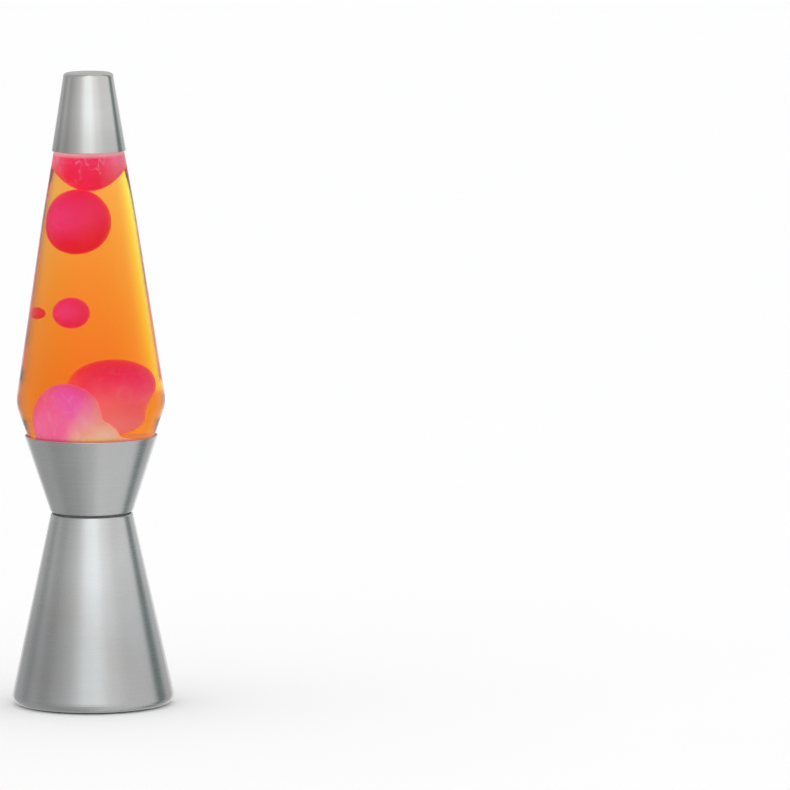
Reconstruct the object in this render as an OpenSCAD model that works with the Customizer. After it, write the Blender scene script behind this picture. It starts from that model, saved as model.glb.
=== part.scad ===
// Lava lamp: a glass bottle of liquid and wax standing in a waisted spun-aluminium base,
// lit and warmed from below by a reflector bulb, and closed by a loose aluminium cap.
// Origin: centre of the ring of feet, on the surface the lamp stands on. +Z up, -Y is the front.

/* [Overall] */
// Height of the whole lamp
total_h = 400; // [392:1:420]

/* [Base] */
// Diameter of the foot, measured where the cone would meet the ground edge
foot_d = 104.4; // [98:0.2:112]
// Bend radius of the rolled foot
foot_round = 5; // [4:0.5:7]
// Outer diameter of the waist
waist_d = 51.8; // [51.4:0.2:56]
// Height of the waist groove
waist_h = 122; // [121:0.5:123]
// Height of the shadow groove at the waist
groove_h = 1.2; // [0.8:0.1:2]
// Outer diameter of the cup at its rim
rim_d = 83.8; // [81:0.2:88]
// Height of the cup's rim
rim_h = 171; // [166:0.5:176]
// Sheet thickness of the spun base shells
shell_t = 1; // [0.7:0.1:1.2]

/* [Bottle] */
// Diameter at the belly, before its corner is rounded
belly_d = 94.7; // [92:0.1:98]
// Radius of the rounded belly
belly_round = 22; // [12:1:30]
// Diameter where the bottle begins to draw in to its neck
shoulder_d = 57.8; // [55:0.2:60]
// Height of that place
shoulder_h = 313; // [300:1:320]
// Height of the bottle's underside
bottle_z = 135.2; // [135:0.1:137]
// Thickness of the glass
glass_t = 2.2; // [1.6:0.1:3]
// Height of the liquid's surface
liquid_h = 376; // [372:1:380]

/* [Cap] */
// Outer diameter of the cap at its open end
cap_d = 46.9; // [46.4:0.1:49]
// Diameter of the cap's flat top, before its corner is rounded
cap_top_d = 31; // [30:0.5:34]
// Height of the cap's lower edge
cap_z = 351; // [349:0.5:353]
// Sheet thickness of the cap
cap_t = 0.8; // [0.6:0.1:0.9]

/* [Inside the base] */
// Number of rubber feet
n_feet = 4; // [3:1:6]
// Number of screws through the bottom plate
n_plate_screws = 3; // [3:1:4]
// Bore of the rubber cord bush
cord_bore = 7.2; // [7:0.2:8]
// Height of the cord bush above the ground
cord_h = 17; // [15:1:22]
// Largest diameter of the reflector bulb
bulb_d = 39; // [37:0.5:39]

/* [Hidden] */
$fn = 96;

arc_n = 6;                      // straight steps in each rounded bend
gap = 0.05;                     // room between pieces that rest against each other
body_gap = 0.35;                // room between pieces that lift off each other

foot_r = foot_d / 2;
waist_r = waist_d / 2;
rim_r = rim_d / 2;
edge_z = 0.8;                   // underside of the rolled foot, held up by the rubber feet
cone_top = waist_h - groove_h / 2;
cup_z = waist_h + groove_h / 2;
flange_r = 20.6;                // clear hole through the waist, which the bulb passes
lip_r = 39;                     // inner edge of the lip under the cone
plate_r = 44.8;
plate_z = 1.2;                  // underside of the bottom plate
lip_z = 3;                      // underside of the lip, and top of the bottom plate
feet_circle_r = 33;
plate_screw_r = 42;
waist_screw_r = 22.75;
n_waist_screws = 4;             // between the bracket's two legs
bracket_t = 1.2;
bracket_z = 52;                 // underside of the strip that carries the lamp holder
bracket_w = 16;
leg_r = 21;                     // inner face of each leg
strip_top = bracket_z + bracket_t;
ring_top = cone_top - shell_t;  // the bracket's ring lies under the cone's flange
ring_t = 1.6;
nipple_r = 5;
core_z = 61.5;                  // underside of the lamp holder's insulating core
core_floor = 64;
holder_top = 88;
cap_bottom = 68.5;              // lower edge of the bulb's screw cap
cap_top = 86;
screw_cap_r = 6.95;
bulb_r = bulb_d / 2;
bulb_top = 129.8;
cone_slope = (foot_r - waist_r) / (cone_top - edge_z);
cup_slope = (rim_r - waist_r) / (rim_h - cup_z);
neck_r = 13.2;
neck_top = 385.6;
liner_t = 0.8;
crown_t = 0.4;
crown_r = 16;
coil_r = 21;
coil_wire_r = 2.2;

function cone_r(z) = waist_r + cone_slope * (cone_top - z);
// Outside of the glass below the belly: parallel to the cup and just clear of its inner face
function seat_r(z) =
    waist_r + cup_slope * (z - cup_z) - (shell_t + body_gap) * sqrt(1 + cup_slope * cup_slope);
belly_h = bottle_z + (belly_d / 2 - seat_r(bottle_z)) / cup_slope;

// ---- Outlines: a path is a list of [r, z, bend radius], with the material on its right ----

function unit(v) = v / norm(v);
function flat(p) = [p[0], p[1]];
function right_of(v) = [v[1], -v[0]];
function turn(a, b) = a[0] * b[1] - a[1] * b[0];
function dir(path, i) = unit(flat(path[i + 1]) - flat(path[i]));

// Path moved t to its right, with bend radii that keep the thickness even
function inset(path, t) = [
    for (i = [0 : len(path) - 1])
        let (
            last = len(path) - 1,
            before = dir(path, max(i - 1, 0)),
            after = dir(path, min(i, last - 1)),
            mid = unit(right_of(before) + right_of(after)),
            p = flat(path[i]) + mid * t / (mid * right_of(before)),
            bends_in = turn(before, after) < 0,
            r = path[i][2]
        )
        [max(p[0], 0), p[1], r == 0 ? 0 : max(bends_in ? r - t : r + t, 0.1)]
];

// Points of one corner, rounded to radius r
function bend(a, b, c, r) =
    let (
        u = unit(a - b),
        v = unit(c - b),
        half = acos(u * v) / 2,
        centre = b + unit(u + v) * r / sin(half),
        from = b + u * r / tan(half) - centre,
        side = turn(u, v) < 0 ? 1 : -1,
        sweep = side * (180 - 2 * half)
    )
    [for (k = [0 : arc_n])
        let (w = sweep * k / arc_n)
        centre + [from[0] * cos(w) - from[1] * sin(w), from[0] * sin(w) + from[1] * cos(w)]];

function rounded(path) = [
    for (i = [0 : len(path) - 1])
        each (path[i][2] == 0
            ? [flat(path[i])]
            : bend(flat(path[i - 1]), flat(path[i]), flat(path[i + 1]), path[i][2]))
];

function reversed(list) = [for (i = [len(list) - 1 : -1 : 0]) list[i]];

// Sheet or glass of even thickness t, turned round the Z axis
module spun(path, t) {
    rotate_extrude()
        polygon(concat(rounded(path), reversed(rounded(inset(path, t)))));
}

module tube(r_out, r_in, z0, z1) {
    translate([0, 0, z0])
        difference() {
            cylinder(r = r_out, h = z1 - z0);
            translate([0, 0, -1]) cylinder(r = r_in, h = z1 - z0 + 2);
        }
}

module disc(r, z0, z1) {
    translate([0, 0, z0]) cylinder(r = r, h = z1 - z0);
}

module around(n, r, first = 0) {
    for (i = [0 : n - 1])
        rotate([0, 0, first + i * 360 / n]) translate([r, 0, 0]) children();
}

// ---- Base shells ----

module cord_axis() {
    translate([0, cone_r(cord_h) - shell_t / 2, cord_h])
        rotate([-90 + atan(cone_slope), 0, 0]) children();
}

// The cone filled solid, with its outer face moved out by grow
module cone_solid(grow) {
    r = grow * sqrt(1 + cone_slope * cone_slope);
    cylinder(r1 = cone_r(0) + r, r2 = cone_r(60) + r, h = 60);
}

module base_cone() {
    color("#b9bbbd")
        difference() {
            spun([
                [flange_r, cone_top, 0], [waist_r, cone_top, 1.3],
                [foot_r, edge_z, foot_round], [plate_r + 0.6, edge_z, 1.3],
                [plate_r + 0.6, lip_z, 0.6], [lip_r, lip_z, 0]
            ], shell_t);
            around(n_waist_screws, waist_screw_r, 45) disc(1.4, cone_top - 2, cone_top + 1);
            around(n_plate_screws, plate_screw_r, 90) disc(1.3, lip_z - 1, lip_z + 3);
            cord_axis() translate([0, 0, -5]) cylinder(r = cord_bore / 2 + 2, h = 10);
        }
}

module base_cup() {
    color("#bcbec0")
        difference() {
            spun([[rim_r, rim_h, 0], [waist_r, cup_z, 1.3], [flange_r, cup_z, 0]], shell_t);
            around(n_waist_screws, waist_screw_r, 45) disc(1.4, cup_z - 1, cup_z + 2);
        }
}

module waist_ring() {
    color("#2b2c2e")
        difference() {
            tube(waist_r - 1, flange_r, cone_top, cup_z);
            around(n_waist_screws, waist_screw_r, 45) disc(1.4, cone_top - 1, cup_z + 1);
        }
}

module waist_screws() {
    color("#9a9c9f")
        around(n_waist_screws, waist_screw_r, 45)
            difference() {
                union() {
                    disc(1.22, ring_top - ring_t - 1, cup_z + shell_t);
                    disc(1.95, cup_z + shell_t, cup_z + shell_t + 1.5);
                }
                translate([-1.5, -0.25, cup_z + shell_t + 0.8]) cube([3, 0.5, 2]);
            }
}

module bottom_plate() {
    color("#1f2022")
        difference() {
            disc(plate_r, plate_z, lip_z);
            around(12, 14, 15) disc(2, 0, lip_z + 1);
            around(16, 22) disc(2, 0, lip_z + 1);
            around(n_plate_screws, plate_screw_r, 90) {
                disc(1.6, 0, lip_z + 1);
                translate([0, 0, plate_z - 0.01]) cylinder(r1 = 2.9, r2 = 1.6, h = 1.3);
            }
            around(n_feet, feet_circle_r, 45) disc(2, 0, lip_z + 1);
        }
}

module plate_screws() {
    color("#8f9194")
        around(n_plate_screws, plate_screw_r, 90)
            difference() {
                union() {
                    translate([0, 0, plate_z]) cylinder(r1 = 2.8, r2 = 1.5, h = 1.3);
                    disc(1.22, plate_z + 1, lip_z + 6);
                }
                translate([-2, -0.3, 0]) cube([4, 0.6, plate_z + 0.6]);
            }
}

module rubber_feet() {
    color("#26272a")
        around(n_feet, feet_circle_r, 45) {
            disc(5.5, 0, plate_z);
            disc(1.9, plate_z - 0.2, lip_z + 0.2);
            translate([0, 0, lip_z]) cylinder(r1 = 2.7, r2 = 1.7, h = 1.8);
        }
}

// Both flanges are cut to the cone, so they lie flat against the wall inside and outside
module cord_bush() {
    flange = cord_bore / 2 + 4;
    color("#1c1d1f")
        difference() {
            union() {
                intersection() {
                    cord_axis() translate([0, 0, -3]) cylinder(r = flange - 0.6, h = 4);
                    cone_solid(-shell_t - gap);
                }
                cord_axis() translate([0, 0, -3]) cylinder(r = cord_bore / 2 + 1.95, h = 5.1);
                difference() {
                    cord_axis() translate([0, 0, -1]) cylinder(r1 = flange, r2 = flange - 0.8, h = 3.1);
                    cone_solid(gap);
                }
            }
            cord_axis() translate([0, 0, -6]) cylinder(r = cord_bore / 2, h = 12);
        }
}

// ---- Lamp holder and its bracket ----

module holder_bracket() {
    leg_z = ring_top - ring_t;
    color("#a7a9ac")
        difference() {
            union() {
                tube(waist_r - shell_t - 0.1, flange_r, leg_z, ring_top);
                for (side = [-1, 1])
                    translate([side > 0 ? leg_r : -leg_r - bracket_t, -bracket_w / 2, bracket_z])
                        cube([bracket_t, bracket_w, leg_z - bracket_z + 0.5]);
                translate([-leg_r - bracket_t, -bracket_w / 2, bracket_z])
                    cube([2 * (leg_r + bracket_t), bracket_w, bracket_t]);
            }
            disc(nipple_r + 0.1, bracket_z - 1, strip_top + 1);
            around(n_waist_screws, waist_screw_r, 45) disc(1.25, leg_z - 1, ring_top + 1);
        }
}

module holder_nipple() {
    color("#c9a24b") tube(nipple_r, 4, bracket_z - 7, strip_top + 6);
}

module holder_nut() {
    color("#c9a24b")
        difference() {
            translate([0, 0, bracket_z - 3]) cylinder(r = 7.5, h = 3 - gap, $fn = 6);
            disc(nipple_r + gap, bracket_z - 4, bracket_z + 1);
        }
}

module holder_dome() {
    color("#e9e6df")
        difference() {
            rotate_extrude()
                polygon([
                    [nipple_r + gap, strip_top + gap], [8.5, strip_top + gap], [9, 56],
                    [11.5, 59], [13, 60.5], [13, 64], [11.7, 64], [11.7, 61],
                    [10.4, 59.6], [7.6, 57.5], [nipple_r + gap, 57.5]
                ]);
            translate([6, -6, 50]) rotate([0, 0, 45]) disc(0.9, 0, 20);
        }
}

module holder_sleeve() {
    color("#ece9e2")
        rotate_extrude()
            polygon([
                [11.5, 64 + gap], [13, 64 + gap], [13, 84], [13.8, 85], [13.8, 87],
                [13, holder_top], [9.2, holder_top], [9.2, 86.4], [11.5, 86.4]
            ]);
}

module holder_core() {
    color("#f1efe9")
        difference() {
            disc(11.4, core_z, 86.3);
            disc(7.95, core_floor, 90);
            for (side = [-1, 1]) translate([side * 9, 0, 0]) disc(1.2, core_z - 1, core_z + 5);
        }
}

module holder_thread_shell() {
    color("#c8a552") tube(7.9, screw_cap_r + gap, 66, 84.5);
}

module holder_contact() {
    color("#c8a552")
        union() {
            translate([-6, -2, core_floor]) cube([12, 4, 0.4]);
            disc(1.6, core_floor + 0.3, core_floor + 0.6);
        }
}

// ---- Reflector bulb ----

module bulb_glass() {
    color([0.9, 0.92, 0.95, 0.6])
        spun([
            [0, bulb_top, 0], [11, bulb_top - 0.6, 30], [bulb_r, bulb_top - 5, 5],
            [bulb_r, 115, 12], [8.4, 94, 10], [6.5, 88.6, 2], [6.5, 82, 0]
        ], 0.6);
}

module bulb_screw_cap() {
    color("#c3c5c8")
        rotate_extrude()
            polygon([
                [5.4, cap_bottom], [screw_cap_r - 0.6, cap_bottom],
                [screw_cap_r, cap_bottom + 1], [screw_cap_r, cap_top - 1.5],
                [screw_cap_r + 0.4, cap_top - 0.8], [screw_cap_r + 0.4, cap_top],
                [6.6, cap_top], [6.6, cap_bottom + 0.5], [5.4, cap_bottom + 0.5]
            ]);
}

module bulb_insulator() {
    color("#17181a")
        rotate_extrude()
            polygon([[0, 65.8], [3.2, 65.8], [5.3, cap_bottom], [5.3, 69.4], [0, 69.4]]);
}

module bulb_contact() {
    color("#b9bbbd") disc(2.3, core_floor + 0.9, 65.8 - gap);
}

module bulb_stem() {
    color([0.85, 0.9, 0.92, 0.6])
        rotate_extrude() polygon([[0, 80], [4.6, 80], [2, 90], [1.6, 100], [0, 100]]);
}

module bulb_support_wires() {
    color("#8b8d90")
        for (side = [-1, 1])
            translate([side * 1, 0, 100 + gap])
                rotate([0, side * 20, 0]) cylinder(r = 0.35, h = 12);
}

module bulb_filament() {
    end_x = 1 + 12.6 * sin(20);
    end_z = 100 + gap + 12.6 * cos(20);
    color("#4a4a4a")
        translate([0, 0, end_z])
            rotate([90, 0, 0]) rotate_extrude(angle = 180) translate([end_x, 0]) circle(r = 0.35);
}

// ---- Bottle, liquid and wax ----

bottle_path = [
    [neck_r, neck_top, 0], [neck_r, 368, 4], [20.3, 362, 5],
    [shoulder_d / 2, shoulder_h, 700], [belly_d / 2, belly_h, belly_round],
    [seat_r(bottle_z), bottle_z, 4], [0, bottle_z, 0]
];

module cavity(clear) {
    inner = inset(bottle_path, glass_t + clear);
    rotate_extrude()
        polygon(concat([[0, neck_top]], rounded(inner)));
}

// Rounded drop: half an ellipse turned round its upright axis
module drop(r, half_h, grow = 0) {
    n = 16;
    rotate_extrude()
        polygon([for (k = [0 : n])
            let (w = 90 * (2 * k / n - 1))
            [k % n == 0 ? 0 : (r + grow) * cos(w), (half_h + grow) * sin(w)]]);
}

// Each free drop: centre, radius and half height
drops = [
    ["large", [-6.2, -7.5, 305.6], 16.8, 20.3],
    ["medium", [-10.3, -22.5, 250.7], 10.2, 9.8],
    ["small", [-26.8, 0, 247.5], 4.6, 3.8],
    ["rising", [10.5, 1, 196], 21.5, 22]
];
pool_h = 172;                   // level of the wax lying in the bottle
mound = [[-13.2, -18, 181.5], 20.5, 24];
top_h = 340;                    // edge of the wax gathered under the cap
top_dip = 16;                   // how far its middle hangs below that edge

module free_drop(i, grow = 0) {
    translate(drops[i][1]) drop(drops[i][2], drops[i][3], grow);
}

// Channel in the wax that the heating coil lies in, open to the floor of the bottle
module coil_channel() {
    half_w = coil_wire_r + gap;
    rotate_extrude()
        translate([coil_r - half_w, bottle_z])
            square([2 * half_w, glass_t + 2 * coil_wire_r + 3 * gap]);
}

module pool_shape(grow = 0) {
    disc(60, bottle_z, pool_h + grow);
    translate(mound[0]) drop(mound[1], mound[2], grow);
}

module top_shape(grow = 0) {
    translate([0, 0, top_h - top_dip])
        translate([0, 0, 60 - grow]) drop(36, 60);
}

module glass_bottle() {
    color([0.9, 0.93, 0.92, 0.35])
        union() {
            spun(bottle_path, glass_t);
            tube(neck_r + 0.7, neck_r - 1, 380, 384);
        }
}

module wax_pool() {
    color("#ec6091")
        difference() {
            intersection() {
                cavity(gap);
                pool_shape();
            }
            coil_channel();
        }
}

module wax_rising() {
    color("#e63a4e")
        difference() {
            intersection() {
                cavity(gap);
                free_drop(3);
            }
            pool_shape(gap);
        }
}

module wax_medium() { color("#ee457a") free_drop(1); }

module wax_small() { color("#ee456c") free_drop(2); }

module wax_large() { color("#e93a6a") free_drop(0); }

module wax_top() {
    color("#e7325a")
        difference() {
            intersection() {
                cavity(gap);
                top_shape();
                disc(60, top_h - top_dip - 1, liquid_h);
            }
            free_drop(0, gap);
        }
}

module liquid() {
    color([0.95, 0.55, 0.15, 0.6])
        difference() {
            intersection() {
                cavity(gap);
                disc(60, bottle_z, liquid_h);
            }
            pool_shape(gap);
            for (i = [0 : len(drops) - 1]) free_drop(i, gap);
            top_shape(gap);
        }
}

module heating_coil() {
    color("#a9abad")
        translate([0, 0, bottle_z + glass_t + coil_wire_r + 2 * gap])
            rotate_extrude() translate([coil_r, 0]) circle(r = coil_wire_r);
}

module crown_liner() { color("#d8d8d4") disc(neck_r - 0.1, neck_top + gap, neck_top + liner_t); }

module crown_cap() {
    top = neck_top + liner_t + gap;
    color("#c9cbce")
        rotate_extrude()
            polygon([
                [0, top], [neck_r + 0.9, top], [neck_r + 1.3, top - 2],
                [crown_r - crown_t, top - 6], [crown_r, top - 6], [neck_r + 1.8, top - 1.6],
                [neck_r + 1, top + crown_t], [0, top + crown_t]
            ]);
}

module top_cap() {
    color("#bfc1c3")
        spun([[0, total_h, 0], [cap_top_d / 2, total_h, 2.6], [cap_d / 2, cap_z, 0]], cap_t);
}

base_cone();
base_cup();
waist_ring();
waist_screws();
bottom_plate();
plate_screws();
rubber_feet();
cord_bush();
holder_bracket();
holder_nipple();
holder_nut();
holder_dome();
holder_sleeve();
holder_core();
holder_thread_shell();
holder_contact();
bulb_glass();
bulb_screw_cap();
bulb_insulator();
bulb_contact();
bulb_stem();
bulb_support_wires();
bulb_filament();
glass_bottle();
liquid();
wax_pool();
wax_rising();
wax_medium();
wax_small();
wax_large();
wax_top();
heating_coil();
crown_cap();
crown_liner();
top_cap();
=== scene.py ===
import math

import bmesh
import bpy
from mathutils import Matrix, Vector, noise


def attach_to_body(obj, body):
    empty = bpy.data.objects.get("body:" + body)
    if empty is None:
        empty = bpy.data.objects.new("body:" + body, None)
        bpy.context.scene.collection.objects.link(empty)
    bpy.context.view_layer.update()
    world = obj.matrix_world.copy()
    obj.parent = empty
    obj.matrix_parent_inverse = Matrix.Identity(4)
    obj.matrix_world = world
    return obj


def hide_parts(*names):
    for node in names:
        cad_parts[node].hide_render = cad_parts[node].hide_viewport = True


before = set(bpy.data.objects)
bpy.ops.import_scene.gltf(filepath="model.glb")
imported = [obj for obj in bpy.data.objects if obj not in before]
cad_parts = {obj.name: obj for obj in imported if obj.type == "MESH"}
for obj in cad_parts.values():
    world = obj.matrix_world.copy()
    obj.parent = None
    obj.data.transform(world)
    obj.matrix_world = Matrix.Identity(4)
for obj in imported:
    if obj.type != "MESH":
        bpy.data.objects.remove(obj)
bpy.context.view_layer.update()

# Lava lamp. Sizes and places are in millimetres until a mesh is built, and in metres from then
# on. The camera's are in metres.
MM = 0.001
BEND_STEP = math.radians(5)     # most that an outline turns from one point to the next in a bend
TURN_STEPS = 160                # sides of a turned piece
GLASS_STEPS = 192               # and of the bottle and the liquid
SUPPORT = 0.3                   # how far from a bend a long face gets its support ring
ON_AXIS = 1e-4                  # a point with a smaller radius lies on the axis

# ---- Driving sizes, as in the CAD model ----

WAIST_R = 25.9
WAIST_H = 122.0
GROOVE_H = 1.2
FLANGE_R = 20.6
RIM_R = 41.9
RIM_H = 171.0
SHELL_T = 1.0
BODY_GAP = 0.35
BELLY_R = 47.35
BELLY_ROUND = 22.0
SHOULDER_R = 28.9
SHOULDER_H = 313.0
BOTTLE_Z = 135.2
GLASS_T = 2.2
NECK_R = 13.2
NECK_TOP = 385.6
LIQUID_H = 376.0
CAP_R = 23.45
CAP_TOP_R = 15.5
CAP_Z = 351.0
TOTAL_H = 400.0
CAP_T = 0.8
CUP_Z = WAIST_H + GROOVE_H / 2
CUP_SLOPE = (RIM_R - WAIST_R) / (RIM_H - CUP_Z)


def seat_r(z):
    """Outside of the glass below the belly, parallel to the cup and just clear of it."""
    return WAIST_R + CUP_SLOPE * (z - CUP_Z) - (SHELL_T + BODY_GAP) * math.hypot(1, CUP_SLOPE)


BELLY_H = BOTTLE_Z + (BELLY_R - seat_r(BOTTLE_Z)) / CUP_SLOPE
BOTTLE_PATH = [
    (NECK_R, NECK_TOP, 0.6), (NECK_R, 368, 4), (20.3, 362, 5), (SHOULDER_R, SHOULDER_H, 700),
    (BELLY_R, BELLY_H, BELLY_ROUND), (seat_r(BOTTLE_Z), BOTTLE_Z, 4), (0, BOTTLE_Z, 0),
]

# ---- Outlines: (r, z, bend radius), with the material on the right of the path ----


def right_of(v):
    """The way to the right of direction v."""
    return Vector((v.y, -v.x))


def inset(path, t):
    """The path moved t to its right, with bend radii that keep the thickness even."""
    points = [Vector(p[:2]) for p in path]
    ways = [(b - a).normalized() for a, b in zip(points, points[1:])]
    moved = []
    for i, p in enumerate(points):
        before = ways[max(i - 1, 0)]
        after = ways[min(i, len(ways) - 1)]
        mid = (right_of(before) + right_of(after)).normalized()
        q = p + mid * t / mid.dot(right_of(before))
        bends_in = before.x * after.y - before.y * after.x < 0
        radius = path[i][2]
        if radius:
            radius = max(radius - t if bends_in else radius + t, 0.1)
        moved.append((max(q.x, 0), q.y, radius))
    return moved


def bend(a, b, c, radius):
    """Points of the corner at b, rounded to radius."""
    u = (a - b).normalized()
    v = (c - b).normalized()
    half = math.acos(max(min(u.dot(v), 1), -1)) / 2
    centre = b + (u + v).normalized() * radius / math.sin(half)
    start = b + u * radius / math.tan(half) - centre
    sweep = (math.pi - 2 * half) * (1 if u.x * v.y - u.y * v.x < 0 else -1)
    n = max(2, math.ceil(abs(sweep) / BEND_STEP))
    points = []
    for k in range(n + 1):
        w = sweep * k / n
        x = start.x * math.cos(w) - start.y * math.sin(w)
        y = start.x * math.sin(w) + start.y * math.cos(w)
        points.append(centre + Vector((x, y)))
    return points


def rounded(path, closed=False):
    """The path's points with its corners rounded and a support point near each end of a long face."""
    corners = []
    n = len(path)
    for i, (r, z, radius) in enumerate(path):
        inner = closed or 0 < i < n - 1
        p = Vector((r, z))
        if radius and inner:
            before, after = Vector(path[i - 1][:2]), Vector(path[(i + 1) % n][:2])
            corners.append(bend(before, p, after, radius))
        else:
            corners.append([p])
    points = []
    for i, corner in enumerate(corners):
        points += corner
        if i == n - 1 and not closed:
            break
        a, b = corner[-1], corners[(i + 1) % n][0]
        length = (b - a).length
        if length > 4 * SUPPORT:
            points += [a.lerp(b, SUPPORT / length), b.lerp(a, SUPPORT / length)]
    return points


def radius_at(points, z):
    """Radius of an outline that runs downwards, at height z."""
    for a, b in zip(points, points[1:]):
        if b.y <= z <= a.y and a.y > b.y:
            return b.x + (a.x - b.x) * (z - b.y) / (a.y - b.y)
    return 0.0


def sheet(path, t, edge):
    """Closed outline of a sheet that follows path, with its free edges rounded to radius edge."""
    inner = inset(path, t)

    def free(p):
        """A free end, which isn't rounded where it meets the axis."""
        return (p[0], p[1], edge if p[0] > 0 else 0)

    outer = [free(path[0])] + list(path[1:-1]) + [free(path[-1])]
    back = [free(inner[-1])] + list(inner[1:-1])[::-1] + [free(inner[0])]
    return rounded(outer + back, closed=True)


# ---- Mesh building ----


def finish_mesh(name, verts, faces, body, nodes, sharp=35):
    """A smooth-shaded piece from vertices in metres, with edges sharper than sharp degrees kept."""
    mesh = bpy.data.meshes.new(name)
    mesh.from_pydata(verts, [], faces)
    bm = bmesh.new()
    bm.from_mesh(mesh)
    bmesh.ops.remove_doubles(bm, verts=bm.verts, dist=1e-7)
    bmesh.ops.recalc_face_normals(bm, faces=bm.faces)
    bm.to_mesh(mesh)
    bm.free()
    mesh.shade_smooth()
    mesh.set_sharp_from_angle(angle=math.radians(sharp))
    piece = bpy.data.objects.new(name, mesh)
    bpy.context.scene.collection.objects.link(piece)
    return attach(piece, body, nodes)


def attach(piece, body, nodes):
    """Lets a piece ride on its body in place of the CAD nodes."""
    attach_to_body(piece, body)
    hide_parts(*nodes)
    return piece


def lathe_data(outline, steps=TURN_STEPS, closed=True):
    """Vertices in metres and faces of an outline in millimetres turned round the Z axis.

    A point on the axis becomes one vertex. closed joins the outline's last point to its first.
    """
    verts, rings, faces = [], [], []
    for p in outline:
        if p[0] < ON_AXIS:
            rings.append([len(verts)] * steps)
            verts.append((0, 0, p[1] * MM))
            continue
        rings.append(list(range(len(verts), len(verts) + steps)))
        for k in range(steps):
            w = 2 * math.pi * k / steps
            verts.append((p[0] * math.cos(w) * MM, p[0] * math.sin(w) * MM, p[1] * MM))
    pairs = list(zip(rings, rings[1:])) + ([(rings[-1], rings[0])] if closed else [])
    for low, high in pairs:
        for k in range(steps):
            j = (k + 1) % steps
            face = list(dict.fromkeys((low[k], low[j], high[j], high[k])))
            if len(face) > 2:
                faces.append(face)
    return verts, faces


def lathe(name, outline, body, nodes, steps=TURN_STEPS):
    """A piece turned from an outline in millimetres."""
    on_axis = outline[0][0] < ON_AXIS and outline[-1][0] < ON_AXIS
    verts, faces = lathe_data(outline, steps, closed=not on_axis)
    return finish_mesh(name, verts, faces, body, nodes)


# ---- Materials ----


class Shader:
    """A node tree, of a new material unless one is given, with short calls to fill it."""

    def __init__(self, name, tree=None):
        self.tree = tree
        if tree is None:
            self.material = bpy.data.materials.new(name)
            self.material.use_nodes = True
            self.tree = self.material.node_tree
            self.main = self.tree.nodes["Principled BSDF"]
            self.out = self.tree.nodes["Material Output"]

    def add(self, kind, **inputs):
        """A new node with its inputs and settings filled in: Base_Color is the input Base Color."""
        node = self.tree.nodes.new("ShaderNode" + kind)
        for key, value in inputs.items():
            self.feed(node, key, value)
        return node

    def feed(self, node, key, value):
        """Links or sets one input by its name, or in_ and its number, or sets a node's setting."""
        title = key.replace("_", " ")
        if hasattr(node, key) and title not in node.inputs:
            setattr(node, key, value)
            return
        socket = node.inputs[int(key[3:])] if key.startswith("in_") else node.inputs[title]
        if isinstance(value, bpy.types.NodeSocket):
            self.tree.links.new(value, socket)
        else:
            socket.default_value = value

    def math(self, operation, a, b=0.0):
        """The result of a Math node."""
        node = self.add("Math", operation=operation)
        self.feed(node, "in_0", a)
        self.feed(node, "in_1", b)
        return node.outputs[0]

    def ramp(self, value, stops, smooth=True):
        """A colour ramp through stops of (place, colour)."""
        node = self.add("ValToRGB", Fac=value)
        node.color_ramp.interpolation = "EASE" if smooth else "LINEAR"
        elements = node.color_ramp.elements
        while len(elements) < len(stops):
            elements.new(1)
        for element, (place_at, colour) in zip(elements, stops):
            element.position = place_at
            element.color = (*colour, 1) if len(colour) == 3 else colour
        return node.outputs["Color"]

    def span(self, value, low, high, to_low=0.0, to_high=1.0):
        """Value taken from low..high to to_low..to_high, without going past either end."""
        node = self.add("MapRange")
        for key, v in zip(range(5), (value, low, high, to_low, to_high)):
            self.feed(node, f"in_{key}", v)
        return node.outputs[0]

    def place(self):
        """Object coordinates in millimetres."""
        at = self.add("TexCoord").outputs["Object"]
        return self.add("VectorMath", operation="SCALE", Vector=at, Scale=1 / MM).outputs[0]

    def parts(self, vector):
        """The x, y and z of a vector."""
        return self.add("SeparateXYZ", Vector=vector).outputs

    def noise(self, vector, scale, detail=3.0, rough=0.5):
        """Noise between 0 and 1, mostly between 0.3 and 0.7."""
        node = self.add("TexNoise", Vector=vector, Scale=scale, Detail=detail, Roughness=rough)
        return node.outputs["Fac"]

    def mix(self, share, a, b, blend="MIX"):
        """Colour a, with share of colour b blended into it."""
        node = self.add("Mix", data_type="RGBA", blend_type=blend)
        # A Mix node has sockets for every type. These are the colour ones.
        for key, v in ((0, share), (6, a), (7, b)):
            if isinstance(v, bpy.types.NodeSocket):
                self.tree.links.new(v, node.inputs[key])
            else:
                node.inputs[key].default_value = v
        return node.outputs[2]

    def bump(self, height, strength, distance):
        """Bump on the main shader, with a depth in metres."""
        node = self.add("Bump", Height=height, Strength=strength, Distance=distance)
        self.feed(self.main, "Normal", node.outputs[0])

    def set(self, **inputs):
        """Fills in the main shader."""
        for key, value in inputs.items():
            self.feed(self.main, key, value)


def rgb(r, g, b):
    """An opaque colour."""
    return (r, g, b, 1.0)


# Steps of noise in a millimetre of spun metal
GROOVE_ROUND = 0.018            # along a groove, which runs round the lamp
GROOVE_ALONG = 2.2              # from groove to groove
BROAD_ALONG = 0.16              # from one broad band to the next


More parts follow.
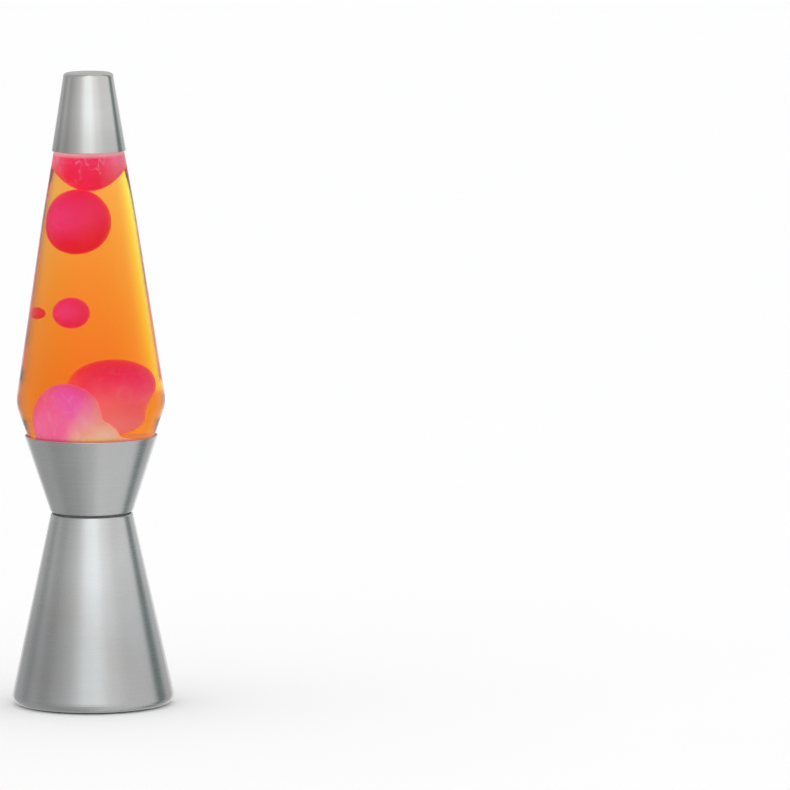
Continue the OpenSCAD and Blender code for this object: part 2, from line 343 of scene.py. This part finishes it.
def spun_metal(name, height_shade, tint=(0.83, 0.84, 0.85), rough=0.27, fine=1.0):
    """Aluminium turned on a lathe: fine grooves run round it, so highlights stretch along it.

    duller gives how much of the light each height in millimetres sends back. This is painted
    shade and light, not a change in the metal.
    """
    s = Shader(name)
    at = s.place()
    x, y, z = s.parts(at)
    radius = s.math("SQRT", s.math("ADD", s.math("MULTIPLY", x, x), s.math("MULTIPLY", y, y)))
    along = s.math("SUBTRACT", z, radius)
    lines = s.add("CombineXYZ", X=s.math("MULTIPLY", x, GROOVE_ROUND),
                  Y=s.math("MULTIPLY", y, GROOVE_ROUND),
                  Z=s.math("MULTIPLY", along, GROOVE_ALONG * fine)).outputs[0]
    grooves = s.noise(lines, 1.0, detail=5.0, rough=0.7)
    wide = s.add("CombineXYZ", Z=s.math("MULTIPLY", along, BROAD_ALONG)).outputs[0]
    broad = s.noise(wide, 1.0, detail=2.0)
    blotch = s.noise(at, 0.03, detail=3.0)
    shade = s.span(grooves, 0.3, 0.7, 0.955, 1.03)
    colour = s.mix(1.0, rgb(*tint), s.add("CombineColor", Red=shade, Green=shade,
                                           Blue=shade).outputs[0], "MULTIPLY")
    # Painted shade and light: the colour is made darker or lighter by height.
    heights = s.span(z, 0, TOTAL_H)
    painted_shade = s.ramp(heights, [(height / TOTAL_H, (v, v, v)) for height, v in height_shade])
    colour = s.mix(1.0, colour, painted_shade, "MULTIPLY")
    grey = s.mix(1.0, colour, rgb(0.95, 0.935, 0.915), "MULTIPLY")
    warm = s.mix(s.span(blotch, 0.35, 0.7), colour, grey)
    roughness = s.math("ADD", s.span(grooves, 0.3, 0.7, rough - 0.05, rough + 0.06),
                       s.span(broad, 0.3, 0.7, -0.015, 0.02))
    tangent = s.add("Tangent", direction_type="RADIAL", axis="Z").outputs[0]
    s.set(Base_Color=warm, Metallic=1.0, Roughness=roughness, Anisotropic=0.75,
          Anisotropic_Rotation=0.25, Tangent=tangent)
    s.bump(s.math("ADD", grooves, s.math("MULTIPLY", broad, 0.6)), 0.07, 0.00004)
    return s.material


def plain_metal(name, tint, rough=0.3):
    """Rolled, drawn or plated metal with faint clouds and a fine grain."""
    s = Shader(name)
    at = s.place()
    cloud = s.noise(at, 0.25, detail=4.0)
    fine = s.noise(at, 2.5, detail=3.0)
    dark = tuple(0.8 * c for c in tint)
    s.set(Base_Color=s.mix(s.span(cloud, 0.35, 0.7), rgb(*tint), rgb(*dark)), Metallic=1.0,
          Roughness=s.span(fine, 0.3, 0.7, rough - 0.06, rough + 0.1))
    s.bump(fine, 0.05, 0.00005)
    return s.material


def moulded(name, tint, rough=0.5, grain=1.2, bump=0.08, specular=0.5):
    """Moulded plastic, rubber or ceramic with a fine grain and a little wear."""
    s = Shader(name)
    at = s.place()
    grainy = s.noise(at, grain, detail=4.0, rough=0.6)
    cloud = s.noise(at, 0.06, detail=3.0)
    light = tuple(min(1.0, c * 1.25 + 0.01) for c in tint)
    s.set(Base_Color=s.mix(s.span(cloud, 0.4, 0.75), rgb(*tint), rgb(*light)),
          Roughness=s.span(grainy, 0.3, 0.7, rough - 0.07, rough + 0.09),
          Specular_IOR_Level=specular)
    s.bump(grainy, bump, 0.0001)
    return s.material


def shell_glass(name, face=0.006, edge=0.15):
    """Thin clear glass: what is behind shows unbent, under a reflection that grows at the edge."""
    s = Shader(name)
    smear = s.noise(s.place(), 0.03, detail=3.0)
    facing = s.add("LayerWeight", Blend=0.5).outputs["Facing"]
    rim = s.math("MULTIPLY", s.math("POWER", facing, 5.0), edge)
    s.set(Base_Color=s.mix(smear, rgb(0.9, 0.93, 0.92), rgb(0.97, 0.98, 0.98)), Metallic=0.0,
          Roughness=s.span(smear, 0.3, 0.7, 0.02, 0.06), Specular_IOR_Level=0.8)
    clear = s.add("BsdfTransparent", Color=rgb(0.985, 0.992, 0.99))
    both = s.add("MixShader", Fac=s.math("ADD", rim, face), in_1=clear.outputs[0],
                 in_2=s.main.outputs[0])
    s.tree.links.new(both.outputs[0], s.out.inputs["Surface"])
    return s.material


def amber_liquid(name):
    """Clear amber liquid: it takes up blue and then green, so thick places turn orange."""
    s = Shader(name)
    s.set(Base_Color=rgb(1, 1, 1), Transmission_Weight=1.0, Roughness=0.0, IOR=1.33,
          Specular_IOR_Level=0.5, Specular_Tint=rgb(0.35, 0.35, 0.35))
    soak = s.add("VolumeAbsorption", Color=rgb(0.97, 0.69, 0.12), Density=66.0)
    s.tree.links.new(soak.outputs[0], s.out.inputs["Volume"])
    return s.material


# Painted light falls on the wax from this way, the upper left as the camera sees it.
PAINTED_LIGHT_FROM = (-0.55, 0.0, 0.83)     # as the camera sees it
FOLD_SHAPE = (1.0, 1.0, 0.45)       # folds of the wax run more up and down than across


def wax(name, low, high, heights, lean=0.0, turn=0.0, veins=0.0, paint=None):
    """Translucent wax, lit through: from colour low to colour high along z - lean * x.

    turn adds painted light and shade: a change of colour from the shaded lower right to the lit
    upper left of each drop. veins are pale wrinkles, real folds painted pale as highlights on
    them, and paint is a function that colours the wax further.
    """
    s = Shader(name)
    at = s.place()
    x, _, z = s.parts(at)
    cloud = s.noise(at, 0.045, detail=3.0)
    fine = s.noise(at, 0.5, detail=3.0)
    along = s.math("SUBTRACT", z, s.math("MULTIPLY", x, lean))
    share = s.math("ADD", s.span(along, *heights), s.span(cloud, 0.3, 0.7, -0.14, 0.14))
    # Painted light and shade: each face's colour leans with how far it turns to the upper left.
    normal = s.add("NewGeometry").outputs["Normal"]
    facing = s.add("VectorMath", operation="DOT_PRODUCT", in_0=normal,
                   in_1=PAINTED_LIGHT_FROM).outputs["Value"]
    share = s.math("ADD", share, s.math("MULTIPLY", facing, turn))
    colour = s.ramp(share, [(0.0, low), (1.0, high)])
    pale = tuple(min(1.0, 0.6 * c + 0.3) for c in low)
    # Pale wrinkle lines: real folds, painted pale as highlights on them.
    stretched = s.add("VectorMath", operation="MULTIPLY", in_0=at, in_1=FOLD_SHAPE).outputs[0]
    fold = s.math("ABSOLUTE", s.math("SUBTRACT", s.noise(stretched, 0.09, detail=2.0), 0.5))
    highlight_lines = s.math("MULTIPLY", s.span(fold, 0.0, 0.022, 1.0, 0.0), s.span(fine, 0.32, 0.55))
    colour = s.mix(s.math("MULTIPLY", highlight_lines, veins), colour, rgb(*pale))
    colour = s.mix(s.span(fine, 0.5, 0.8, 0.0, 0.08), colour, rgb(*pale))
    if paint is not None:
        colour = paint(s, x, z, colour)
    body = s.mix(1.0, colour, rgb(0.5, 0.5, 0.5), "MULTIPLY")
    # The emission is a painted glow, standing in for the bulb's light shining through the wax.
    s.set(Base_Color=body, Roughness=s.span(cloud, 0.3, 0.7, 0.32, 0.45),
          Emission_Color=colour, Emission_Strength=0.52, Sheen_Weight=0.3,
          Sheen_Roughness=0.3, Sheen_Tint=rgb(1.0, 0.62, 0.78), Specular_IOR_Level=0.25)
    s.bump(s.math("ADD", cloud, s.math("MULTIPLY", fine, 0.2)), 0.25, 0.0008)
    return s.material


def dress(obj, material):
    """Gives an object one material, in every slot it has."""
    if not obj.material_slots:
        obj.data.materials.append(material)
    for slot in obj.material_slots:
        slot.material = material


# ---- Shells of the base and the cap ----

# Painted shade and light on the base: darker towards the foot of the cone and on the cup, lightest
# near the waist.
alu = spun_metal("spun_aluminium", [
    (0, 0.84), (35, 0.84), (98, 1.05), (120, 1.05), (122, 0.92), (TOTAL_H, 0.92),
])
# The cap's copy is painted lighter all over, for the brighter light on the cap, and painted darker
# towards its lower edge.
lit_cap_alu = spun_metal("spun_aluminium_cap", [(350, 0.84), (380, 1.0)], tint=(0.92, 0.92, 0.915),
                     rough=0.2, fine=1.2)

CUP_PATH = [(RIM_R, RIM_H, 0), (WAIST_R, CUP_Z, 1.3), (FLANGE_R, CUP_Z, 0)]
CAP_PATH = [(0, TOTAL_H, 0), (CAP_TOP_R, TOTAL_H, 2.6), (CAP_R, CAP_Z, 0)]


def top_cap():
    """Loose cap: a tapered sheet with a closed top."""
    piece = lathe("cap_shell", sheet(CAP_PATH, CAP_T, 0.3), "cap", ["top_cap"])
    dress(piece, lit_cap_alu)


def base_cup():
    """Upper shell of the base, with a flange turned in at the waist."""
    piece = lathe("cup_shell", sheet(CUP_PATH, SHELL_T, 0.4), "base",
                  ["base_cup"])
    dress(piece, alu)


top_cap()
base_cup()
dress(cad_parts["base_cone"], alu)

# ---- Bottle and liquid ----

OVER_GLASS = 0.12               # how far the liquid's outer face lies inside the glass's
INNER_GAP = 0.1                 # and how far the part of it in the neck lies inside the glass


def bottle():
    """Tapered glass bottle with a rounded belly and a long neck."""
    outline = sheet(BOTTLE_PATH, GLASS_T, 0.6)
    piece = lathe("bottle_glass", outline, "bottle", ["glass_bottle"],
                  steps=GLASS_STEPS)
    dress(piece, shell_glass("bottle_glass"))
    piece.visible_shadow = False


def liquid():
    """Filled out to the glass's outer face, as glass and liquid together look from outside.

    Where the cap hides it, the liquid steps in to the inside of the glass.
    """
    outer = rounded(inset(BOTTLE_PATH, OVER_GLASS))
    inner = rounded(inset(BOTTLE_PATH, GLASS_T + INNER_GAP))
    step_from, step_to = CAP_Z + 5, CAP_Z + 9
    bottom = BOTTLE_Z + GLASS_T
    corner = bottom + 1
    outline = [Vector((0, LIQUID_H)), Vector((radius_at(inner, LIQUID_H), LIQUID_H))]
    outline += [p for p in inner if step_to < p.y < LIQUID_H]
    outline.append(Vector((radius_at(outer, step_from), step_from)))
    outline += [p for p in outer if corner < p.y < step_from]
    outline += [Vector((radius_at(outer, corner) - 1, bottom)), Vector((0, bottom))]
    piece = lathe("liquid_body", outline, "bottle", ["liquid"],
                  steps=GLASS_STEPS)
    dress(piece, amber_liquid("amber_liquid"))


bottle()
liquid()

# ---- Wax ----

WALL = rounded(inset(BOTTLE_PATH, GLASS_T + 0.15))
WAX_VOXEL = 0.9                 # grid on which balls of wax are run together
SWELLINGS = 10 / 11             # steps of noise over the radius of a drop


def unit_ball(rings=48):
    """Vertices and faces of a ball with a radius of 1 m, to be stretched to size."""
    radius = 1 / MM
    outline = []
    for k in range(rings + 1):
        w = math.pi * k / rings
        outline.append((radius * math.sin(w) if 0 < k < rings else 0, radius * math.cos(w)))
    return lathe_data(outline, steps=2 * rings, closed=False)


def lumpy(way, seed, reach):
    """A slow, repeatable swelling of a drop in the direction way."""
    return reach * noise.noise(way * SWELLINGS + Vector((seed, 2.7 * seed, 0.3)))


def drop(name, node, centre, radii, lump, seed):
    """A free drop of wax: an ellipsoid with a slow swelling, by the share lump of its radii."""
    verts, faces = unit_ball()
    shaped = []
    for v in verts:
        d = Vector(v)
        grow = 1 + lumpy(d, seed, lump)
        p = Vector((d.x * radii[0], d.y * radii[1], d.z * radii[2])) * grow
        shaped.append((p + Vector(centre)) * MM)
    return finish_mesh(name, shaped, faces, "bottle", [node], sharp=180)


def held_in(piece, margin):
    """Keeps a wax piece's points inside the glass."""
    for v in piece.data.vertices:
        r = math.hypot(v.co.x, v.co.y)
        most = (radius_at(WALL, v.co.z / MM) - margin) * MM
        if r > most > 0:
            v.co.x *= most / r
            v.co.y *= most / r


def melted(name, node, parts, smooth=14):
    """Overlapping balls and turned solids run together into one smooth body of wax.

    smooth is how many times the joined surface is relaxed.
    """
    verts, faces = [], []
    for part_verts, part_faces in parts:
        start = len(verts)
        verts += part_verts
        faces += [[i + start for i in face] for face in part_faces]
    mesh = bpy.data.meshes.new(name)
    mesh.from_pydata([tuple(v) for v in verts], [], faces)
    piece = bpy.data.objects.new(name, mesh)
    bpy.context.scene.collection.objects.link(piece)
    bm = bmesh.new()
    bm.from_mesh(mesh)
    bmesh.ops.recalc_face_normals(bm, faces=bm.faces)
    bm.to_mesh(mesh)
    bm.free()
    remesh = piece.modifiers.new("melt", "REMESH")
    remesh.mode = "VOXEL"
    remesh.voxel_size = WAX_VOXEL * MM
    relax = piece.modifiers.new("relax", "SMOOTH")
    relax.factor = 0.6
    relax.iterations = smooth
    graph = bpy.context.evaluated_depsgraph_get()
    result = bpy.data.meshes.new_from_object(piece.evaluated_get(graph))
    piece.modifiers.clear()
    piece.data = result
    result.name = name
    result.shade_smooth()
    return attach(piece, "bottle", [node])


def blob(centre, radii):
    """One ball of a melted piece, stretched to radii."""
    verts, faces = unit_ball(rings=24)
    moved = [[(v[i] * radii[i] + centre[i]) * MM for i in range(3)] for v in verts]
    return moved, faces


def turned(points):
    """One turned part of a melted piece."""
    return lathe_data(points, steps=96, closed=False)


def wax_drops():
    """The three free drops, from the top down."""
    # Painted shade and light: each drop runs from red low and at its lower right to pink high and at
    # its upper left.
    large = drop("wax_drop_large", "wax_large", (-6.4, -8, 305.9), (18, 16.5, 20.4), 0.04, 1.3)
    dress(large, wax("wax_large", (0.93, 0.004, 0.055), (0.95, 0.014, 0.19), (272, 328), turn=0.35))
    medium = drop("wax_drop_medium", "wax_medium", (-10.3, -22.5, 250.7), (10.9, 10, 9.7), 0.03, 4.1)
    dress(medium, wax("wax_medium", (0.95, 0.010, 0.12), (0.98, 0.026, 0.21), (236, 262), turn=0.2))
    small = drop("wax_drop_small", "wax_small", (-26.8, 0, 247.5), (5.2, 4.6, 3.7), 0.03, 6.2)
    dress(small, wax("wax_small", (0.88, 0.045, 0.10), (0.90, 0.06, 0.15), (240, 255)))
    for piece in (large, medium, small):
        held_in(piece, 0.1)


def wax_top():
    """Wax gathered under the cap: a wide dome that hangs down and meets the glass all round."""
    radius, depth, middle = 28.6, 59.6, 384
    steps = 14
    dome = [(0, middle - depth)]
    for k in range(1, steps - 1):
        w = math.pi / 2 * k / steps
        dome.append((radius * math.sin(w), middle - depth * math.cos(w)))
    dome += [(radius, LIQUID_H), (0, LIQUID_H)]
    top = melted("wax_under_cap", "wax_top", [turned(dome)], smooth=6)
    held_in(top, 0.0)

    def top_painted_light(s, x, z, colour):
        """Painted light: paler sides as sheen near the glass, and a pale reflection in a line under
        the cap.
        """
        off_middle = s.math("ABSOLUTE", s.math("ADD", x, 3.0))
        colour = s.mix(s.span(off_middle, 9, 22, 0.0, 0.85), colour, rgb(1.0, 0.22, 0.42))
        # Painted reflection: a pale line under the cap's edge.
        line = s.math("MULTIPLY", s.span(z, 347.2, 349.6, 0.0, 0.9), s.span(z, 352, 355, 1.0, 0.1))
        return s.mix(line, colour, rgb(1.0, 0.52, 0.62))

    deep, shallow = (0.97, 0.008, 0.20), (1.0, 0.012, 0.13)
    dress(top, wax("wax_top", deep, shallow, (325, 343), veins=0.7, paint=top_painted_light))


def wax_rising():
    """Mass of wax that has left the pool, at the lower right."""
    rising = melted("wax_rising_mass", "wax_rising", [
        blob((10.5, 0, 201), (21.6, 20, 17.2)),
        blob((8, 0, 186.5), (18, 17, 11.6)),
        blob((13.5, 0, 188), (12, 11, 12)),
    ])
    held_in(rising, 0.3)
    dress(rising, wax("wax_rising", (1.0, 0.36, 1.0), (1.0, 0.03, 0.48), (178, 213), lean=-0.2,
                      veins=0.12))


def wax_pool():
    """Wax on the floor of the bottle, with the mound that is about to rise at its front."""
    bottom = BOTTLE_Z + GLASS_T + 0.3
    pool = [(0, bottom), (seat_r(bottom) - 3, bottom), (60, 152), (60, 170), (30, 171.5), (0, 172)]
    mound = melted("wax_pool_mound", "wax_pool", [
        turned(pool),
        blob((-13.2, -21, 181.5), (20.6, 20, 24.2)),
        blob((2, -20, 169), (15.5, 18, 17)),
        blob((14, -20, 161), (20, 17, 13)),
        blob((14, 20, 163), (30, 20, 13)),
    ], smooth=12)
    held_in(mound, 0.1)

    def lit_foot(s, x, z, colour):
        """Redder at the lower left, with the bulb's warm light in the middle and a shaded foot."""
        corner = s.span(s.math("ADD", z, s.math("MULTIPLY", x, 0.8)), 174, 193)
        colour = s.mix(1.0, colour, s.ramp(corner, [(0, (1, 1, 0.42)), (1, (1, 1, 1))], False),
                       "MULTIPLY")
        low = s.span(z, 170.5, 176, 1.0, 0.0)
        across = s.span(s.math("ABSOLUTE", s.math("SUBTRACT", x, 6)), 7, 21, 1.0, 0.0)
        colour = s.mix(s.math("MULTIPLY", low, across), colour, rgb(1.0, 0.62, 0.20))
        shade = s.math("MULTIPLY", s.span(z, 171.2, 173.0, 0.7, 0.0), s.span(z, 167.5, 170.0))
        return s.mix(shade, colour, rgb(0.55, 0.07, 0.08))

    dress(mound, wax("wax_pool", (1.0, 0.72, 1.0), (1.0, 0.13, 1.0), (154, 210), lean=1.6,
                     veins=0.12, paint=lit_foot))


wax_drops()
wax_top()
wax_rising()
wax_pool()

# ---- Closure, coil and bulb ----


def crown_cap():
    """Pressed crown: a flat top and a skirt crimped into flutes, deeper towards its edge."""
    flutes, crimp = 21, 0.045
    top = NECK_TOP + 0.85
    skirt_top, skirt_h = top - 1, 5
    outline = rounded([
        (0, top + 0.4, 0), (NECK_R + 0.6, top + 0.4, 0.8), (NECK_R + 1.9, top - 1.8, 1.0),
        (16, top - 6, 0.15), (15.6, top - 6, 0.15), (NECK_R + 1.5, top - 1.9, 1.0),
        (NECK_R + 0.3, top, 0.5), (0, top, 0),
    ])
    verts, faces = lathe_data(outline, steps=12 * flutes, closed=False)
    crimped = []
    for x, y, z in verts:
        depth = min(max((skirt_top * MM - z) / (skirt_h * MM), 0), 1)
        pinch = 1 - crimp * depth * (1 - math.cos(flutes * math.atan2(y, x)))
        crimped.append((x * pinch, y * pinch, z))
    piece = finish_mesh("crown_closure", crimped, faces, "bottle", ["crown_cap"])
    dress(piece, plain_metal("crown_tin", (0.75, 0.76, 0.77), rough=0.22))


def heating_coil():
    """Close-wound spring bent into a ring."""
    turns, per_turn, sides = 88, 10, 6
    ring_r, wind_r, wire_r = 21.0, 1.85, 0.33
    z = BOTTLE_Z + GLASS_T + 2.3
    n = turns * per_turn

    def centre(i):
        """Middle of the wire at step i of n."""
        w = 2 * math.pi * i / n
        r = ring_r + wind_r * math.cos(w * turns)
        return Vector((r * math.cos(w), r * math.sin(w), z + wind_r * math.sin(w * turns)))

    verts, faces = [], []
    for i in range(n):
        along = (centre(i + 1) - centre(i - 1)).normalized()
        w = 2 * math.pi * i / n
        out = (centre(i) - Vector((ring_r * math.cos(w), ring_r * math.sin(w), z))).normalized()
        across = along.cross(out)
        for k in range(sides):
            v = 2 * math.pi * k / sides
            verts.append((centre(i) + (out * math.cos(v) + across * math.sin(v)) * wire_r) * MM)
            a, b = i * sides, (i + 1) % n * sides
            j = (k + 1) % sides
            faces.append((a + k, a + j, b + j, b + k))
    piece = finish_mesh("coil_spring", verts, faces, "bottle", ["heating_coil"], 180)
    dress(piece, plain_metal("coil_steel", (0.62, 0.63, 0.64)))


crown_cap()
heating_coil()

# ---- Pieces that keep their CAD shape ----

steel = plain_metal("zinc_steel", (0.66, 0.67, 0.69), rough=0.32)
brass = plain_metal("brass", (0.78, 0.60, 0.28), rough=0.25)
rubber = moulded("black_rubber", (0.028, 0.028, 0.03), rough=0.7, bump=0.12, specular=0.3)
holder = moulded("holder_plastic", (0.82, 0.80, 0.74), rough=0.3)
lamp_wire = plain_metal("lamp_wire", (0.4, 0.4, 0.41))
CAD_MATERIALS = {
    # The waist spacer is dark plastic, and its dark colour also stands in for the shade in the groove
    # at the waist.
    "waist_ring": moulded("black_spacer", (0.07, 0.072, 0.074), rough=0.6),
    "waist_screws": steel, "plate_screws": steel, "holder_bracket": steel,
    "bottom_plate": moulded("black_plate", (0.025, 0.025, 0.028), rough=0.55, grain=0.8),
    "rubber_feet": rubber, "cord_bush": rubber,
    "holder_nipple": brass, "holder_nut": brass, "holder_thread_shell": brass,
    "holder_contact": brass, "holder_dome": holder, "holder_sleeve": holder,
    "holder_core": moulded("holder_ceramic", (0.86, 0.85, 0.80), rough=0.22),
    "bulb_glass": shell_glass("bulb_glass", face=0.1, edge=0.9),
    "bulb_stem": shell_glass("bulb_stem", face=0.05, edge=0.9),
    "bulb_screw_cap": plain_metal("bulb_metal", (0.76, 0.77, 0.78), rough=0.28),
    "bulb_contact": plain_metal("bulb_solder", (0.7, 0.7, 0.71), rough=0.4),
    "bulb_insulator": moulded("bulb_black_glass", (0.012, 0.012, 0.015), rough=0.12),
    "bulb_support_wires": lamp_wire, "bulb_filament": lamp_wire,
    "crown_liner": moulded("liner_plastic", (0.80, 0.80, 0.77), rough=0.6),
}
for node_name, material in CAD_MATERIALS.items():
    dress(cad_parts[node_name], material)

# ---- Floor, light and camera ----


def floor():
    """Plain pale floor, which the metal and the liquid don't show."""
    bpy.ops.mesh.primitive_plane_add(size=60)
    plane = bpy.context.object
    plane.name = "studio_floor"
    s = Shader("pale_floor")
    cloud = s.noise(s.place(), 0.004, detail=3.0)
    s.set(Base_Color=s.mix(cloud, rgb(0.955, 0.957, 0.96), rgb(0.975, 0.975, 0.975)),
          Roughness=0.9, Specular_IOR_Level=0.1)
    dress(plane, s.material)
    plane.visible_glossy = False
    plane.visible_transmission = False


def bands(s, around, stops):
    """Light by direction: degrees from the front, positive to the right, and a grey or colour."""
    return s.ramp(around, [((a + 180) / 360, v if isinstance(v, tuple) else (v, v, v))
                           for a, v in stops])


def metal_light(s, around, z):
    """What metal and glass reflect: upright grey bands, with more light low behind.

    Higher up there is a bright key light in front, and a darker gap on the left.
    """
    dark = (0.165, 0.20, 0.197)
    metal = bands(s, around, [
        (-180, 0.46), (-150, 0.42), (-120, 0.37), (-99, 0.38), (-78, 0.31), (-40, 0.36),
        (-5, 0.48), (25, 0.63), (60, 0.62), (100, 0.62), (112, dark), (121, dark), (135, 0.50),
        (180, 0.50),
    ])
    behind = bands(s, around, [
        (-180, 0.45), (-160, 0.4), (-148, 0), (148, 0), (160, 0.4), (180, 0.45),
    ])
    below = s.math("MULTIPLY", s.span(z, -0.04, 0.02, 1.0, 0.0), s.span(z, -0.5, -0.3))
    metal = s.mix(below, metal, s.mix(1.0, metal, behind, "ADD"))
    key = bands(s, around, [
        (-180, 0), (-80, 0), (-52, 0.09), (-38, 0.17), (-24, 0.30), (-12, (0.45, 0.48, 0.49)),
        (5, (0.47, 0.50, 0.51)), (30, 0.15), (60, 0), (180, 0),
    ])
    gap = bands(s, around, [
        (-180, 1.0), (-132, 1.0), (-114, (0.66, 0.70, 0.72)), (-98, 1.0), (-85, 1.0), (180, 1.0),
    ])
    high = s.span(z, -0.25, 0.15)
    metal = s.mix(high, metal, s.mix(1.0, metal, gap, "MULTIPLY"))
    return s.mix(high, metal, s.mix(1.0, metal, key, "ADD"))


def through_light(s, around, z):
    """What shows through the bottle: pale bands, and a lemon softbox low behind on the left."""
    pale = (1.13, 1.18, 1.0)
    through = bands(s, around, [
        (-180, 1.13), (-150, pale), (-95, pale), (-40, 1.1), (60, 1.0), (95, 0.78), (125, 0.78),
        (150, 1.0), (180, 1.13),
    ])
    lemon = (0.2, 1.45, 0.15)
    softbox = bands(s, around, [
        (-180, 0), (-157, 0), (-122, lemon), (-104, lemon), (-80, 0), (180, 0),
    ])
    low = s.math("MULTIPLY", s.span(z, -0.20, -0.08, 1.0, 0.0), s.span(z, -0.62, -0.48))
    return s.mix(low, through, s.mix(1.0, through, softbox, "ADD"))


def studio_light():
    """A soft white studio all round, which metal and the bottle show in bands of their own."""
    world = bpy.data.worlds.new("studio")
    bpy.context.scene.world = world
    world.use_nodes = True
    s = Shader("studio", world.node_tree)
    x, y, z = s.parts(s.add("TexCoord").outputs["Generated"])
    turn = s.math("ARCTAN2", x, s.math("MULTIPLY", y, -1.0))
    around = s.span(turn, -math.pi, math.pi)
    rays = s.add("LightPath").outputs
    light = s.mix(rays["Is Glossy Ray"], rgb(1.04, 1.04, 1.04), metal_light(s, around, z))
    light = s.mix(rays["Is Transmission Ray"], light, through_light(s, around, z))
    background = s.tree.nodes["Background"]
    s.feed(background, "Color", light)
    s.feed(background, "Strength", 1.0)


def camera():
    """Eye a little above the lamp, which stands at the left of a square frame."""
    distance = 6.0
    width = 0.4975              # of the frame, at the lamp
    rise = math.radians(7.0)
    roll = math.radians(-0.25)
    aim = Vector((0.1915, 0, 0.1954))
    data = bpy.data.cameras.new("camera")
    data.sensor_fit = "HORIZONTAL"
    data.angle = 2 * math.atan(width / 2 / distance)
    data.clip_end = 200
    eye = bpy.data.objects.new("camera", data)
    bpy.context.scene.collection.objects.link(eye)
    back = Vector((0, -math.cos(rise), math.sin(rise)))
    eye.location = aim + back * distance
    look = (-back).to_track_quat("-Z", "Y").to_euler()
    look.rotate_axis("Z", roll)
    eye.rotation_euler = look
    bpy.context.scene.camera = eye


floor()
studio_light()
camera()

scene = bpy.context.scene
scene.view_settings.view_transform = "Standard"
scene.cycles.max_bounces = 16
scene.cycles.transmission_bounces = 16
scene.cycles.transparent_max_bounces = 24
